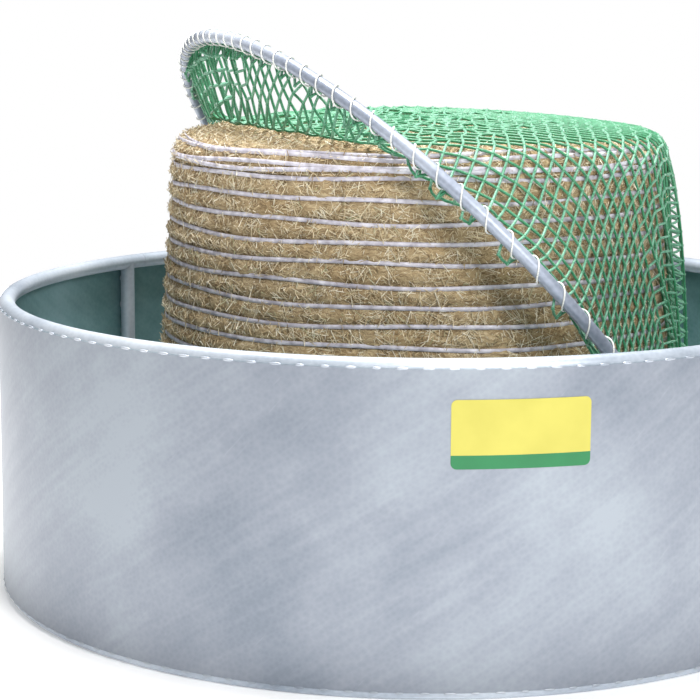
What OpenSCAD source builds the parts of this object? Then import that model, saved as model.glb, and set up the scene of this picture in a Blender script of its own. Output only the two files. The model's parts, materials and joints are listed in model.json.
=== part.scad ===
// Round bale feeder: a galvanised sheet drum on two tube hoops, standing round
// a wrapped hay bale, with a hay net laced to a tube ring that leans over the
// bale and sinks as the hay is eaten.  The drum's axis is Z, and the ground is
// at Z = 0.  The net ring leans down towards net_azimuth.

/* [Drum] */
// Outside diameter of the sheet wall
drum_d = 2282; // [1900:2:2740]
// Height of the drum from the ground to the top of the rim tube
drum_h = 800; // [660:10:960]
// Thickness of the wall sheet
wall_t = 3; // [2:0.5:4]
// Gap between the two wall sheets at each seam
seam_gap = 1.5; // [0.5:0.5:3]
// Outside diameter of the rim, base and post tubes
hoop_tube_d = 42.4; // [34:0.1:52]
// Wall thickness of the rim, base and post tubes
hoop_tube_t = 3.2; // [2.6:0.2:4]
// Diameter of the vent hole in each post
vent_d = 8; // [6:0.5:10]
// Depth of the vent hole below the top of its post
vent_drop = 62; // [50:2:90]
// Turn of the vent hole from straight outwards, in degrees
vent_turn = 225; // [135:5:225]
// Clearance between the saddle of a post and the hoop that it is welded to
saddle_clearance = 0.3; // [0.25:0.05:1]
// Direction of the first post and of the sheet seam behind it, in degrees
seam_azimuth = 143; // [130:1:160]

/* [Tube joints] */
// Direction of one butt joint of the rim tube, in degrees
rim_joint_azimuth = -40; // [-48:1:-39]
// Direction of one butt joint of the base tube, in degrees
base_joint_azimuth = -52; // [-60:1:-45]
// Length of the sleeve inside each butt joint
sleeve_l = 120; // [80:5:160]
// Wall thickness of the sleeves
sleeve_t = 3; // [2:0.5:4]
// Clearance between a sleeve and the bore that it fits
sleeve_clearance = 0.25; // [0.1:0.05:0.5]
// Gap at each butt joint
butt_gap = 1; // [0.5:0.5:2]

/* [Label] */
// Length of the label plate round the wall
label_w = 327; // [250:1:400]
// Height of the label plate
label_h = 160; // [120:1:200]
// Thickness of the label plate
label_t = 1; // [0.6:0.2:2]
// Corner radius of the label plate
label_corner = 14; // [6:1:24]
// Depth of the label's top edge below the top of the rim
label_drop = 91; // [70:1:120]
// Direction of the label's middle, in degrees
label_azimuth = -77.7; // [-90:0.1:-60]

/* [Bale] */
// Height of the bale at its edge
bale_h = 1230; // [1020:5:1480]
// Rise of the crown of the bale above its edge
crown_h = 45; // [20:1:80]
// Radius of the bale's top shoulder
shoulder_r = 55; // [30:1:90]
// How much narrower the bale is at its shoulder than at its belly, on the radius
shoulder_in = 38; // [10:1:50]
// Feeding space between the bale and the inside of the hoops
feed_gap = 396; // [330:2:480]
// Thickness of the wrap round the bale
wrap_t = 1.5; // [1:0.5:3]
// Height of the bare hay below and above the wrap
wrap_margin = 70; // [40:5:120]

/* [Net ring] */
// Outside diameter of the net ring's tube
ring_tube_d = 33.7; // [26.9:0.1:42.4]
// Wall thickness of the net ring's tube
ring_tube_t = 2.6; // [2:0.2:3.2]
// Clearance between the level net ring, centred, and the inside of the hoops
ring_wall_gap = 99.5; // [90:0.5:150]
// Slope of the resting net ring in degrees, where the ground allows it
ring_slope = 48.4; // [40:0.1:50]
// Height of the ring's high side above the edge of the bale
ring_above_bale = 260; // [200:1:300]
// Least height of the ring's low side above the ground
ring_floor_gap = 25; // [22:1:120]
// Distance of the ring's low side from the bale's side
ring_bale_gap = 38; // [36:1:90]
// Clearance of the ring's far side from the inside of the hoops
ring_side_gap = 32; // [28:1:40]
// Direction in which the net ring slopes down, in degrees
net_azimuth = 25.1; // [0:0.1:45]

/* [Net] */
// Distance of the net from the hay that it lies on
net_off_bale = 12; // [8:1:20]
// Thickness of the net with its knots
net_t = 6; // [4:1:10]
// Distance of the net's edge from the plane of the ring
net_edge_gap = 60; // [40:5:100]
// Diameter of the rope in the net's edge
edge_rope_d = 6; // [5:0.5:8]
// Clearance between the edge rope and the ring's tube
rope_clearance = 0.3; // [0.2:0.1:1]
// Diameter of the lacing cord
lacing_d = 4; // [3:0.5:5]
// Number of turns of lacing round the ring
lacing_turns = 72; // [48:1:90]
// Slant of each turn of lacing, in degrees
lacing_slant = 18; // [0:1:30]
// Clearance between a turn of lacing and what it binds
lacing_clearance = 0.4; // [0.2:0.1:1]

/* [Hidden] */

galvanised = "#a9b3bf";
bare_weld = "#c9d2da";
round_steps = 96;
tube_steps = 48;

// Drum: the sheet lies against the outside of both hoops, and its edges stop
// level with the middle of their tubes, where they are welded.
wall_r = drum_d/2;
sheet_in_r = wall_r - wall_t;
hoop_r = sheet_in_r - hoop_tube_d/2;
hoop_in_r = hoop_r - hoop_tube_d/2;
rim_z = drum_h - hoop_tube_d/2;
base_z = hoop_tube_d/2;
post_angles = [for (i = [0:5]) seam_azimuth + 60*i];

// Bale: what the drum leaves once the animals have their feeding space.
bale_r = hoop_in_r - feed_gap;
bale_top_r = bale_r - shoulder_in;

// Net ring: its low side stands beside the bale, and its high side leans over
// the bale's edge.  It slopes less if that would put its low side too low.
ring_r = hoop_in_r - ring_wall_gap - ring_tube_d/2;
ring_high_z = bale_h + ring_above_bale;
ring_tilt = min(ring_slope, asin((ring_high_z - ring_floor_gap)/(2*ring_r)));
ring_z = ring_high_z - ring_r*sin(ring_tilt);
ring_u = bale_r + ring_bale_gap - ring_r*cos(ring_tilt);
ring_side_r = hoop_in_r - ring_tube_d/2 - ring_side_gap;
ring_v = sqrt(ring_side_r*ring_side_r - ring_u*ring_u) - ring_r;
edge_rope_r = ring_r - ring_tube_d/2 - rope_clearance - edge_rope_d/2;
bundle_r = (ring_tube_d + rope_clearance + edge_rope_d)/2;
bundle_mid_r = ring_r + ring_tube_d/2 - bundle_r;
lacing_r = bundle_r/cos(lacing_slant) + lacing_clearance + lacing_d/2;

// An arc of tube, from angle a0 through turn degrees, round the Z axis.
module tube_arc(path_r, od, t, a0, turn) {
    rotate([0, 0, a0])
        rotate_extrude(angle = turn, $fn = round_steps)
            translate([path_r, 0])
                difference() {
                    circle(d = od, $fn = tube_steps);
                    circle(d = od - 2*t, $fn = tube_steps);
                }
}

// The angle that a length takes up on a circle.
function arc_angle(l, r) = l/r*180/PI;

module half_hoop(z, joint_azimuth) {
    half_gap = arc_angle(butt_gap, hoop_r)/2;
    translate([0, 0, z])
        tube_arc(hoop_r, hoop_tube_d, hoop_tube_t, joint_azimuth + half_gap, 180 - 2*half_gap);
}

module hoop_sleeves(z, joint_azimuth) {
    bore = hoop_tube_d - 2*hoop_tube_t;
    turn = arc_angle(sleeve_l, hoop_r);
    for (side = [0, 180])
        translate([0, 0, z])
            tube_arc(hoop_r, bore - 2*sleeve_clearance, sleeve_t, joint_azimuth + side - turn/2, turn);
}

module wall_sheet(from) {
    half_gap = arc_angle(seam_gap, sheet_in_r)/2;
    color(galvanised)
        rotate([0, 0, from + half_gap])
            rotate_extrude(angle = 180 - 2*half_gap, $fn = round_steps)
                translate([sheet_in_r, base_z])
                    square([wall_t, rim_z - base_z]);
}

// A post is cut to a saddle that fits round each hoop, and vented so that it
// can be galvanised inside.  The vent faces half way round from the drum's
// middle.
module post(azimuth) {
    color(galvanised)
        rotate([0, 0, azimuth])
            translate([hoop_r, 0, 0])
                difference() {
                    translate([0, 0, base_z])
                        cylinder(d = hoop_tube_d, h = rim_z - base_z, $fn = tube_steps);
                    cylinder(d = hoop_tube_d - 2*hoop_tube_t, h = drum_h, $fn = tube_steps);
                    translate([0, 0, drum_h - vent_drop])
                        rotate([0, 90, vent_turn])
                            cylinder(d = vent_d, h = hoop_tube_d, $fn = tube_steps);
                    for (z = [base_z, rim_z])
                        translate([0, 0, z])
                            rotate([90, 0, 0])
                                cylinder(d = hoop_tube_d + 2*saddle_clearance, h = 2*hoop_tube_d,
                                         center = true, $fn = tube_steps);
                }
}

module rounded_rectangle(w, h, r) {
    square([w - 2*r, h], center = true);
    square([w, h - 2*r], center = true);
    for (x = [-1, 1], y = [-1, 1])
        translate([x*(w/2 - r), y*(h/2 - r)])
            circle(r = r, $fn = tube_steps);
}

module label_plate() {
    label_z = drum_h - label_drop - label_h/2;
    color("#ddd66c")
        rotate([0, 0, label_azimuth])
            intersection() {
                translate([0, 0, label_z - label_h])
                    difference() {
                        cylinder(r = wall_r + label_t, h = 2*label_h, $fn = round_steps);
                        translate([0, 0, -label_h])
                            cylinder(r = wall_r, h = 4*label_h, $fn = round_steps);
                    }
                translate([wall_r/2, 0, label_z])
                    rotate([90, 0, 90])
                        linear_extrude(wall_r)
                            rounded_rectangle(label_w, label_h, label_corner);
            }
}

// Half of the bale's outline, grown outwards by grow: a straight belly, a
// slight taper, a round shoulder and a low crown.
function crown_foot() = [bale_top_r - shoulder_r + shoulder_r*cos(75), bale_h - shoulder_r + shoulder_r*sin(75)];
function crown_z(r, grow) =
    let (foot = crown_foot(), rise = bale_h + crown_h - foot[1])
    bale_h + crown_h + grow - rise*pow(r/foot[0], 2);
function bale_outline(grow) = concat(
    [[0, 0], [bale_r + grow, 0], [bale_r + grow, 0.45*bale_h]],
    [for (a = [0:15:75]) [bale_top_r - shoulder_r + (shoulder_r + grow)*cos(a),
                          bale_h - shoulder_r + (shoulder_r + grow)*sin(a)]],
    [for (k = [5:-1:0]) let (r = crown_foot()[0]*k/6) [r, crown_z(r, grow)]]);

module bale_form(grow) {
    rotate_extrude($fn = round_steps)
        polygon(bale_outline(grow));
}

module hay_bale() {
    color("#b59a63")
        bale_form(-wrap_t);
}

module bale_wrap() {
    color("#cfcad2")
        intersection() {
            difference() {
                bale_form(0);
                bale_form(-wrap_t);
            }
            translate([0, 0, wrap_margin])
                cylinder(r = bale_r + 1, h = bale_h - shoulder_r - wrap_margin, $fn = round_steps);
        }
}

// Puts its children in the net ring's own frame: the ring's middle at the
// origin, its plane flat, and its low side towards +X.
module in_ring_frame() {
    rotate([0, 0, net_azimuth])
        translate([ring_u, ring_v, ring_z])
            rotate([0, ring_tilt, 0])
                children();
}

// The net where it lies on the bale, cut off short of the ring's plane.
module hay_net() {
    color("#3f9a5f")
        intersection() {
            difference() {
                bale_form(net_off_bale + net_t);
                bale_form(net_off_bale);
            }
            in_ring_frame()
                translate([-drum_d, -drum_d, net_edge_gap])
                    cube([2*drum_d, 2*drum_d, 2*drum_h + bale_h]);
        }
}

module net_ring_tube() {
    half_gap = arc_angle(butt_gap, ring_r)/2;
    color(galvanised)
        in_ring_frame()
            tube_arc(ring_r, ring_tube_d, ring_tube_t, half_gap, 360 - 2*half_gap);
}

module net_ring_sleeve() {
    turn = arc_angle(sleeve_l, ring_r);
    color(bare_weld)
        in_ring_frame()
            tube_arc(ring_r, ring_tube_d - 2*ring_tube_t - 2*sleeve_clearance, sleeve_t, -turn/2, turn);
}

module net_edge_rope() {
    color("#2c7a48")
        in_ring_frame()
            rotate_extrude($fn = round_steps)
                translate([edge_rope_r, 0])
                    circle(d = edge_rope_d, $fn = 24);
}

module net_lacing() {
    color("#e9e8e2")
        in_ring_frame()
            for (i = [0:lacing_turns - 1])
                rotate([0, 0, (i + 0.5)*360/lacing_turns])
                    translate([bundle_mid_r, 0, 0])
                        rotate([90 + lacing_slant, 0, 0])
                            rotate_extrude($fn = tube_steps)
                                translate([lacing_r, 0])
                                    circle(d = lacing_d, $fn = 16);
}

wall_sheet(seam_azimuth);  // wall_sheet_left
wall_sheet(seam_azimuth + 180);  // wall_sheet_right
color(bare_weld) half_hoop(rim_z, rim_joint_azimuth + 180);  // rim_tube_left
color(bare_weld) half_hoop(rim_z, rim_joint_azimuth);  // rim_tube_right
color(galvanised) hoop_sleeves(rim_z, rim_joint_azimuth);  // rim_sleeves
color(galvanised) half_hoop(base_z, base_joint_azimuth + 180);  // base_tube_left
color(galvanised) half_hoop(base_z, base_joint_azimuth);  // base_tube_right
color(galvanised) hoop_sleeves(base_z, base_joint_azimuth);  // base_sleeves
for (i = [0:5])
    post(post_angles[i]);
label_plate();
hay_bale();
bale_wrap();
hay_net();
net_ring_tube();
net_ring_sleeve();
net_edge_rope();
net_lacing();
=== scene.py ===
"""The looks of a round bale feeder: a galvanised drum on tube hoops, a wrapped hay
bale in it, and a hay net laced to a loose tube ring."""
import json
import math

import bmesh
import bpy
import numpy as np
from mathutils import Matrix, Vector, noise


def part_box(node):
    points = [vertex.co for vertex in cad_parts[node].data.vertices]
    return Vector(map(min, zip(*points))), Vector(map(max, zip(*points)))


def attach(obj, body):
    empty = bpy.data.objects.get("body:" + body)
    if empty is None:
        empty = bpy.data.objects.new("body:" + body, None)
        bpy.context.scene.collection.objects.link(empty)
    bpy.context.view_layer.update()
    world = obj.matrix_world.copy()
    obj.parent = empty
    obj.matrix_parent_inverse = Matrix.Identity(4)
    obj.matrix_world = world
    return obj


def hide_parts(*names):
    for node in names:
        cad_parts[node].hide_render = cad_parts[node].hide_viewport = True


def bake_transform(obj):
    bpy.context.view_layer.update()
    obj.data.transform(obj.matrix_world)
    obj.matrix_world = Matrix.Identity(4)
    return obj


bl_info = {
    "name": "Round bale feeder",
    "version": (1, 0, 0),
    "blender": (4, 5, 0),
    "location": "View3D > Sidebar > Feeder",
    "description": "Builds the finishes, hay, net and welds of a round bale feeder round its frame",
    "category": "Add Mesh",
}

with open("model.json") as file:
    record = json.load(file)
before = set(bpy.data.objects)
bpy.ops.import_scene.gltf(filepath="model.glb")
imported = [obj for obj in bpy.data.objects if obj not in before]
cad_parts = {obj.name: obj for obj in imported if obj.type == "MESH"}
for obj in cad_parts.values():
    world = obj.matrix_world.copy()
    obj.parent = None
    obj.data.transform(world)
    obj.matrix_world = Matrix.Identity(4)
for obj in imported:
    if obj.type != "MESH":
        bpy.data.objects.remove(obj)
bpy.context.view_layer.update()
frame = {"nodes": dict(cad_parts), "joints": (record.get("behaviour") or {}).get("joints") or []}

# The drum's own sizes, read from the frame.
WALL_R = max(-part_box("wall_sheet_left")[0].x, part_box("wall_sheet_right")[1].x)
RIM_LOW, RIM_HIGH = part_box("rim_tube_left")
TUBE_R = (RIM_HIGH.z - RIM_LOW.z) / 2
RIM_Z = RIM_HIGH.z - TUBE_R
BASE_Z = TUBE_R
BALE_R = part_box("bale_wrap")[1].x
BALE_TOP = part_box("hay_bale")[1].z
BACK_SEAM_DEG = 143  # the direction of the sheets' seam behind the bale


def joint(name):
    return next(j for j in frame["joints"] if j["name"] == name)


# ---------------------------------------------------------------- settings

def metres(name, about, default):
    return bpy.props.FloatProperty(name=name, description=about, default=default, unit="LENGTH")


class FeederBaleSettings(bpy.types.PropertyGroup):
    edge_h: metres("Edge height", "Height of the bale at the edge of its top", 1.23)
    shoulder: metres("Shoulder", "Radius of the bale's top shoulder", 0.055)
    taper: metres("Taper", "How much narrower the bale is at its shoulder", 0.038)
    band_pitch: metres("Band pitch", "Distance from one strand of the wrap to the next", 0.0515)
    band_w: metres("Band width", "Width of a strand of the wrap", 0.011)
    bulge: metres("Bulge", "How far the hay stands out between two strands", 0.015)
    straws: bpy.props.IntProperty(
        name="Straws", description="Straws on a square metre of the bale", default=17000)
    straw_l: metres("Straw length", "Length of a straw that shows", 0.034)
    straw_d: metres("Straw width", "Thickness of a straw", 0.0016)


class FeederNetSettings(bpy.types.PropertyGroup):
    bar: metres("Bar", "Length of one side of a mesh", 0.0385)
    twine_d: metres("Twine", "Thickness of the net's twine", 0.0076)
    slack_low: bpy.props.FloatProperty(
        name="Slack, low side", default=0.05, subtype="FACTOR",
        description="Spare net on the ring's low side, as a share of its way over the bale")
    slack_high: bpy.props.FloatProperty(
        name="Slack, high side", default=0.30, subtype="FACTOR",
        description="Spare net on the ring's high side, as a share of its way over the bale")
    facing: bpy.props.FloatProperty(
        name="Facing", description="Direction round the bale in which the meshes hang square",
        default=math.radians(-45), subtype="ANGLE")
    clearance: metres("Clearance", "Distance of the twine's middle from the hay", 0.014)
    lacing_pitch: metres("Lacing pitch", "Distance from one turn of the lacing to the next", 0.083)


class FeederWeldSettings(bpy.types.PropertyGroup):
    pitch: metres("Pitch", "Distance from one stitch of weld to the next", 0.059)
    length: metres("Length", "Length of a stitch of weld", 0.027)
    width: metres("Width", "Width of a stitch of weld", 0.007)


# ---------------------------------------------------------------- helpers

def linear(code):
    """An sRGB hex colour as linear RGBA."""
    parts = [int(code[i:i + 2], 16) / 255 for i in (1, 3, 5)]
    return tuple(c / 12.92 if c <= 0.04045 else ((c + 0.055) / 1.055) ** 2.4 for c in parts) + (1.0,)


def feed(tree, node, links):
    """Gives a node its inputs, as values or as sockets to link."""
    for name, value in links.items():
        if isinstance(value, bpy.types.NodeSocket):
            tree.links.new(value, node.inputs[name])
        else:
            node.inputs[name].default_value = value


def add(tree, kind, links=None, **settings):
    """Adds a node: settings are its properties, links its inputs."""
    node = tree.nodes.new(kind)
    for name, value in settings.items():
        setattr(node, name, value)
    feed(tree, node, links or {})
    return node


def ramp(tree, value, stops):
    """A colour ramp over value, from a list of (place, hex colour or grey)."""
    node = add(tree, "ShaderNodeValToRGB", {0: value})
    bar = node.color_ramp
    while len(bar.elements) < len(stops):
        bar.elements.new(0.5)
    for element, (place, shade) in zip(bar.elements, stops):
        element.position = place
        element.color = linear(shade) if isinstance(shade, str) else (shade, shade, shade, 1)
    return node.outputs["Color"]


def new_material(name):
    material = bpy.data.materials.new(name)
    material.use_nodes = True
    tree = material.node_tree
    tree.nodes.clear()
    shader = add(tree, "ShaderNodeBsdfPrincipled")
    output = add(tree, "ShaderNodeOutputMaterial")
    tree.links.new(shader.outputs[0], output.inputs["Surface"])
    return material, tree, shader


def object_point(tree):
    return add(tree, "ShaderNodeTexCoord").outputs["Object"]


def geometry_tree(name, inputs):
    """A Geometry Nodes tree with a geometry in and out and these inputs: (name, kind, default)."""
    tree = bpy.data.node_groups.new(name, "GeometryNodeTree")
    tree.interface.new_socket("Geometry", in_out="INPUT", socket_type="NodeSocketGeometry")
    for label, kind, default in inputs:
        socket = tree.interface.new_socket(label, in_out="INPUT", socket_type=kind)
        if default is not None:
            socket.default_value = default
    tree.interface.new_socket("Geometry", in_out="OUTPUT", socket_type="NodeSocketGeometry")
    return tree, add(tree, "NodeGroupInput").outputs, add(tree, "NodeGroupOutput")


def close_tree(tree, geometry, given, output):
    """Ends a tree in Realize Instances and Set Material."""
    whole = add(tree, "GeometryNodeRealizeInstances", {"Geometry": geometry})
    coated = add(tree, "GeometryNodeSetMaterial", {"Geometry": whole.outputs[0], "Material": given["Material"]})
    tree.links.new(coated.outputs[0], output.inputs[0])


def live(piece, tree, values):
    """Puts a tree on a piece with these input values."""
    modifier = piece.modifiers.new(tree.name, "NODES")
    modifier.node_group = tree
    for item in tree.interface.items_tree:
        if item.in_out == "INPUT" and item.name in values:
            modifier[item.identifier] = values[item.name]
    return modifier


def grown(piece, tree, values):
    """Runs a tree on a piece with these input values, and keeps the result as its plain mesh."""
    modifier = live(piece, tree, values)
    bpy.context.view_layer.update()
    depsgraph = bpy.context.evaluated_depsgraph_get()
    mesh = bpy.data.meshes.new_from_object(piece.evaluated_get(depsgraph), depsgraph=depsgraph)
    piece.modifiers.remove(modifier)
    piece.data = mesh
    mesh.name = piece.name
    return piece


def new_piece(name, points, edges=(), faces=()):
    mesh = bpy.data.meshes.new(name)
    mesh.from_pydata([tuple(p) for p in points], edges, faces)
    mesh.update()
    piece = bpy.data.objects.new(name, mesh)
    bpy.context.scene.collection.objects.link(piece)
    return piece


def smooth(piece):
    piece.data.polygons.foreach_set("use_smooth", [True] * len(piece.data.polygons))
    return piece


def coat(nodes, material):
    for name in nodes:
        slots = frame["nodes"][name].data.materials
        slots.clear()
        slots.append(material)


# ---------------------------------------------------------------- metals

def unrolled(tree, place, slant, long, wide):
    """A point's place on the drum's wall laid flat and stretched into marks of this slant, length and
    width. The wall is cut open at the sheets' back seam."""
    to_seam = (0.0, 0.0, math.radians(180 - BACK_SEAM_DEG))
    turned = add(tree, "ShaderNodeMapping", {"Vector": place, "Rotation": to_seam})
    apart = add(tree, "ShaderNodeSeparateXYZ", {0: turned.outputs[0]})
    turn = add(tree, "ShaderNodeMath", {0: apart.outputs["Y"], 1: apart.outputs["X"]}, operation="ARCTAN2")
    round_wall = add(tree, "ShaderNodeMath", {0: turn.outputs[0], 1: WALL_R}, operation="MULTIPLY")
    flat = add(tree, "ShaderNodeCombineXYZ", {"X": round_wall.outputs[0], "Z": apart.outputs["Z"]})
    return add(tree, "ShaderNodeMapping", {"Vector": flat.outputs[0], "Rotation": (0.0, math.radians(-slant), 0.0),
                                           "Scale": (long, 1.0, wide)}, vector_type="TEXTURE").outputs[0]


def galvanised(name, light, mid, dark, contrast, roughness, metallic, inside=None):
    """Hot-dip galvanised steel, dipped and weathered: a dull zinc skin whose spangle shows as faint
    patches some 12 mm across. Rolled sheet also has slanting drag marks, scuffs and pale bloom, and
    its inner face is given a painted reflection: a teal-green tint."""
    material, tree, shader = new_material(name)
    place = object_point(tree)
    cloud = add(tree, "ShaderNodeTexNoise", {"Vector": place, "Scale": 1.9, "Detail": 3.0, "Roughness": 0.55})
    spangle = add(tree, "ShaderNodeTexVoronoi", {"Vector": place, "Scale": 85.0})
    spots = add(tree, "ShaderNodeMath", {0: spangle.outputs["Distance"], 1: 0.10}, operation="MULTIPLY")
    total = add(tree, "ShaderNodeMath", {0: cloud.outputs["Fac"], 1: spots.outputs[0]}, operation="ADD")
    if inside:
        drag = add(tree, "ShaderNodeTexNoise", {"Vector": unrolled(tree, place, 32, 0.5, 0.03), "Scale": 1.0,
                                                "Detail": 5.0, "Roughness": 0.6})
        scuff = add(tree, "ShaderNodeTexNoise", {"Vector": unrolled(tree, place, 48, 0.16, 0.0016), "Scale": 1.0,
                                                 "Detail": 2.0})
        scuffs = ramp(tree, scuff.outputs["Fac"], [(0.68, 0.0), (0.76, 0.2)])
        bloom = add(tree, "ShaderNodeTexVoronoi", {"Vector": place, "Scale": 1.15, "Randomness": 1.0})
        blooms = ramp(tree, bloom.outputs["Distance"], [(0.02, 0.22), (0.075, 0.0)])
        marks = add(tree, "ShaderNodeMath", {0: drag.outputs["Fac"], 1: 0.3}, operation="MULTIPLY")
        for extra in (marks.outputs[0], scuffs, blooms):
            total = add(tree, "ShaderNodeMath", {0: total.outputs[0], 1: extra}, operation="ADD")
    middle = 0.53 + (0.16 if inside else 0.0)
    tint = ramp(tree, total.outputs[0], [(middle - contrast, dark), (middle, mid), (middle + contrast, light)])
    if inside:
        # Painted reflection: the inner face is coloured greener and duller than the weathered outer one, standing in
        # for the green surroundings that its bare zinc reflects.
        half_sheet = 0.0016
        flat = add(tree, "ShaderNodeVectorMath", {0: place, 1: (1.0, 1.0, 0.0)}, operation="MULTIPLY")
        far = add(tree, "ShaderNodeVectorMath", {0: flat.outputs[0]}, operation="LENGTH")
        painted_reflection_mask = add(tree, "ShaderNodeMath", {0: far.outputs["Value"], 1: WALL_R - half_sheet},
                    operation="LESS_THAN")
        green = ramp(tree, total.outputs[0], [(middle - 0.2, inside[0]), (middle + 0.2, inside[1])])
        tint = add(tree, "ShaderNodeMix", {"Factor": painted_reflection_mask.outputs[0], 6: tint, 7: green},
                   data_type="RGBA").outputs[2]
    rough = add(tree, "ShaderNodeMapRange", {"Value": cloud.outputs["Fac"], "From Min": 0.3, "From Max": 0.7,
                                             "To Min": roughness - 0.06, "To Max": roughness + 0.06})
    grain = add(tree, "ShaderNodeTexNoise", {"Vector": place, "Scale": 260.0, "Detail": 2.0})
    bump = add(tree, "ShaderNodeBump", {"Strength": 0.05, "Distance": 0.0005, "Height": grain.outputs["Fac"]})
    feed(tree, shader, {"Base Color": tint, "Roughness": rough.outputs[0], "Normal": bump.outputs[0],
                        "Metallic": metallic})
    return material


class FEEDER_OT_drum(bpy.types.Operator):
    """Gives the drum's sheets, hoops and posts their galvanised finish, and the label its print"""
    bl_idname = "feeder.drum"
    bl_label = "Drum finishes"

    def execute(self, context):
        sheet = galvanised("hot_dip_galvanised_sheet", "#949ba3", "#838993", "#6f7782", 0.20, 0.42, 0.35,
                           # The inner face's teal-greens: a painted reflection of green surroundings on the bare
                           # zinc.
                           ("#537c7c", "#85a5ab"))
        tube = galvanised("hot_dip_galvanised_tube", "#cdd4dc", "#b3bcc7", "#939daa", 0.2, 0.4, 0.4)
        coat(["wall_sheet_left", "wall_sheet_right"], sheet)
        coat(["rim_tube_left", "rim_tube_right", "rim_sleeves", "base_tube_left", "base_tube_right",
              "base_sleeves"] + ["post_%d" % i for i in range(1, 7)], tube)
        coat(["label_plate"], printed_film())
        return {"FINISHED"}


def printed_film():
    """Matt printed PVC film: plain yellow above a plain green band, slightly soiled."""
    material, tree, shader = new_material("printed_pvc_film")
    place = object_point(tree)
    low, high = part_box("label_plate")
    height = add(tree, "ShaderNodeSeparateXYZ", {0: place}).outputs["Z"]
    band_top = low.z + 0.2 * (high.z - low.z)
    above = add(tree, "ShaderNodeMath", {0: height, 1: band_top}, operation="GREATER_THAN")
    soil = add(tree, "ShaderNodeTexNoise", {"Vector": place, "Scale": 9.0, "Detail": 5.0})
    yellow = ramp(tree, soil.outputs["Fac"], [(0.3, "#afa747"), (0.7, "#b9b14f")])
    green = ramp(tree, soil.outputs["Fac"], [(0.3, "#12683a"), (0.7, "#187341")])
    both = add(tree, "ShaderNodeMix", {"Factor": above.outputs[0], 6: green, 7: yellow}, data_type="RGBA")
    feed(tree, shader, {"Base Color": both.outputs[2], "Roughness": 0.45})
    return material


def stitch_tree():
    """Weld stitches: one bead at each point of a guide loop, turned along it."""
    tree, given, output = geometry_tree("Weld stitches", [
        ("Length", "NodeSocketFloat", 0.027), ("Width", "NodeSocketFloat", 0.007),
        ("Pitch", "NodeSocketFloat", 0.059), ("Seed", "NodeSocketInt", 4), ("Material", "NodeSocketMaterial", None)])
    line = add(tree, "GeometryNodeMeshToCurve", {"Mesh": given["Geometry"]})
    spaced = add(tree, "GeometryNodeCurveToPoints", {"Curve": line.outputs[0], "Length": given["Pitch"]},
                 mode="LENGTH")
    bead = add(tree, "GeometryNodeMeshUVSphere", {"Segments": 8, "Rings": 10, "Radius": 0.5})
    place = add(tree, "GeometryNodeInputPosition")
    ripple = add(tree, "ShaderNodeTexWave", {"Vector": place.outputs[0], "Scale": 2.2, "Distortion": 1.0},
                 bands_direction="Z")
    push = add(tree, "ShaderNodeVectorMath", {0: place.outputs[0], "Scale": ripple.outputs["Fac"]},
               operation="SCALE")
    part = add(tree, "ShaderNodeVectorMath", {0: push.outputs[0], 1: (0.3, 0.3, 0.0)}, operation="MULTIPLY")
    rippled = add(tree, "GeometryNodeSetPosition", {"Geometry": bead.outputs["Mesh"], "Offset": part.outputs[0]})
    vary = add(tree, "FunctionNodeRandomValue", {2: 0.75, 3: 1.2, "Seed": given["Seed"]})
    long = add(tree, "ShaderNodeMath", {0: given["Length"], 1: vary.outputs[1]}, operation="MULTIPLY")
    size = add(tree, "ShaderNodeCombineXYZ", {"X": given["Width"], "Y": given["Width"], "Z": long.outputs[0]})
    placed = add(tree, "GeometryNodeInstanceOnPoints", {
        "Points": spaced.outputs["Points"], "Instance": rippled.outputs[0],
        "Rotation": spaced.outputs["Rotation"], "Scale": size.outputs[0]})
    shaded = add(tree, "GeometryNodeSetShadeSmooth", {0: placed.outputs[0]})
    close_tree(tree, shaded.outputs[0], given, output)
    return tree


def loop_points(radius, z, count):
    turn = np.linspace(0, 2 * np.pi, count, endpoint=False)
    return np.stack([radius * np.cos(turn), radius * np.sin(turn), np.full(count, z)], -1)


def loop_edges(count, start=0):
    return [(start + i, start + (i + 1) % count) for i in range(count)]


class FEEDER_OT_welds(bpy.types.Operator):
    """Lays the weld stitches along both edges of the wall, at the posts and along the inner seams"""
    bl_idname = "feeder.welds"
    bl_label = "Welds"

    def execute(self, context):
        sizes = context.scene.feeder_welds
        material = galvanised("galvanised_weld_bead", "#c2c7ce", "#a6adb6", "#7f8894", 0.2, 0.4, 0.35)
        tree = stitch_tree()
        steps, inset = 360, 0.0015
        rim = loop_points(WALL_R - inset, RIM_Z + 0.001, steps)
        base = loop_points(WALL_R - inset, BASE_Z - 0.001, steps)
        piece = new_piece("edge_weld_stitches", np.concatenate([rim, base]),
                          loop_edges(steps) + loop_edges(steps, steps))
        grown(piece, tree, {"Length": sizes.length, "Width": sizes.width, "Pitch": sizes.pitch,
                            "Seed": 4, "Material": material})
        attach(piece, "drum")
        points, edges = [], []
        for i in range(1, 7):
            low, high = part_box("post_%d" % i)
            middle = (low + high) / 2
            azimuth = math.atan2(middle.y, middle.x)
            radial = Vector((math.cos(azimuth), math.sin(azimuth), 0))
            aside = Vector((-radial.y, radial.x, 0))
            for side in (-1, 1):
                foot = radial * (WALL_R - 0.005) + aside * side * 0.011
                start, count = len(points), 12
                points += [foot + Vector((0, 0, z)) for z in np.linspace(BASE_Z + 0.05, RIM_Z - 0.05, count)]
                edges += [(start + k, start + k + 1) for k in range(count - 1)]
        seams = new_piece("post_weld_stitches", points, edges)
        grown(seams, tree, {"Length": 0.016, "Width": 0.006, "Pitch": 0.075, "Seed": 9, "Material": material})
        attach(seams, "drum")
        return {"FINISHED"}


# ---------------------------------------------------------------- bale

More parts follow.
